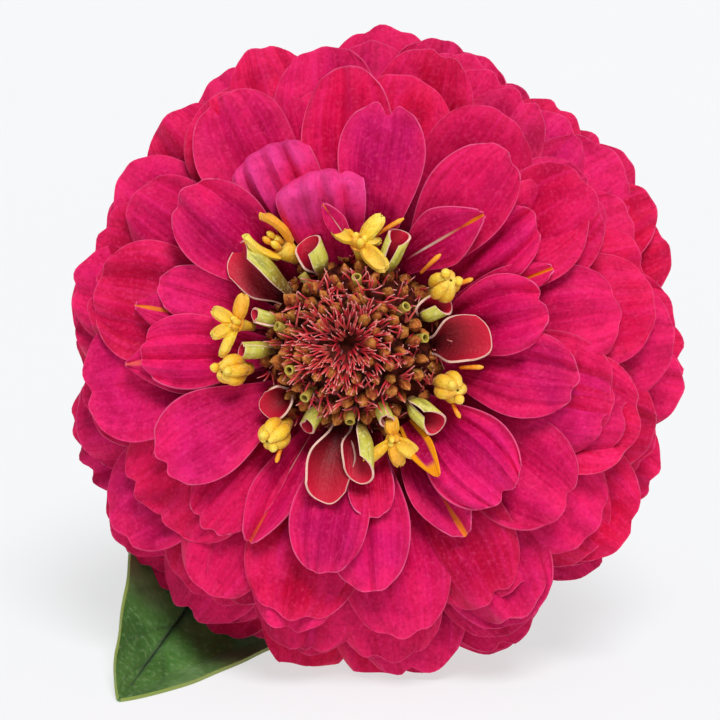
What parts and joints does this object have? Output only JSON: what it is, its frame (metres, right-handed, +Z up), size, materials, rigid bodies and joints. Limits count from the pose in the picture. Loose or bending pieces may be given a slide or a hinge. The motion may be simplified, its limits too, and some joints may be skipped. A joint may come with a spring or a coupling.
{
  "type": "zinnia flower",
  "caption": "Cut double zinnia lying on its side: domed head of crimson-pink petals with a russet disc and yellow florets, a straight green stem and one leaf.",
  "frame": {"origin": "under the middle of the flower, on the surface it lies on", "axes": "+Z up, the stem runs towards +Y, the flower faces -Y and 15 degrees up"},
  "size_m": [0.0748, 0.1588, 0.0762],
  "materials": {
    "outer_petals": "velvety crimson-pink petal with fine lengthwise veins",
    "inner_petals": "velvety magenta-pink petal with folds and a pale edge",
    "young_rays": "rolled young petal, crimson inside and hairy yellow-green outside",
    "yellow_florets": "waxy yellow to orange floret",
    "disc": "russet fringed bracts over olive-brown buds",
    "stem": "ribbed green stem with short hairs",
    "leaf": "rough matt green leaf with sunken veins",
    "bracts": "smooth green bracts with a dark edge",
    "receptacle": "pale green pith"
  },
  "bodies": {
    "root": {"disc_florets": "disc", "inner_petal_01": "inner_petals", "inner_petal_02": "inner_petals", "inner_petal_03": "inner_petals", "inner_petal_04": "inner_petals", "inner_petal_05": "inner_petals", "inner_petal_06": "inner_petals", "inner_petal_07": "inner_petals", "inner_petal_08": "inner_petals", "inner_petal_09": "inner_petals", "inner_petal_10": "inner_petals", "inner_petal_11": "inner_petals", "inner_petal_12": "inner_petals", "inner_petal_13": "inner_petals", "inner_petal_14": "inner_petals", "inner_petal_15": "inner_petals", "inner_petal_16": "inner_petals", "inner_petal_17": "inner_petals", "inner_petal_18": "inner_petals", "inner_petal_19": "inner_petals", "involucre": "bracts", "leaf": "leaf", "petal_row_2": "outer_petals", "petal_row_3": "outer_petals", "petal_row_4": "outer_petals", "petal_row_5": "outer_petals", "petal_row_6": "outer_petals", "petal_row_7": "outer_petals", "petal_row_8": "outer_petals", "receptacle": "receptacle", "stem": "stem", "yellow_floret_1": "yellow_florets", "yellow_floret_2": "yellow_florets", "yellow_floret_3": "yellow_florets", "yellow_floret_4": "yellow_florets", "yellow_floret_5": "yellow_florets", "yellow_floret_6": "yellow_florets", "yellow_floret_7": "yellow_florets", "yellow_floret_8": "yellow_florets", "young_ray_01": "young_rays", "young_ray_02": "young_rays", "young_ray_03": "young_rays", "young_ray_04": "young_rays", "young_ray_05": "young_rays", "young_ray_06": "young_rays", "young_ray_07": "young_rays", "young_ray_08": "young_rays", "young_ray_09": "young_rays", "young_ray_10": "young_rays", "young_ray_11": "young_rays", "young_ray_12": "young_rays", "young_ray_13": "young_rays"}
  },
  "joints": []
}
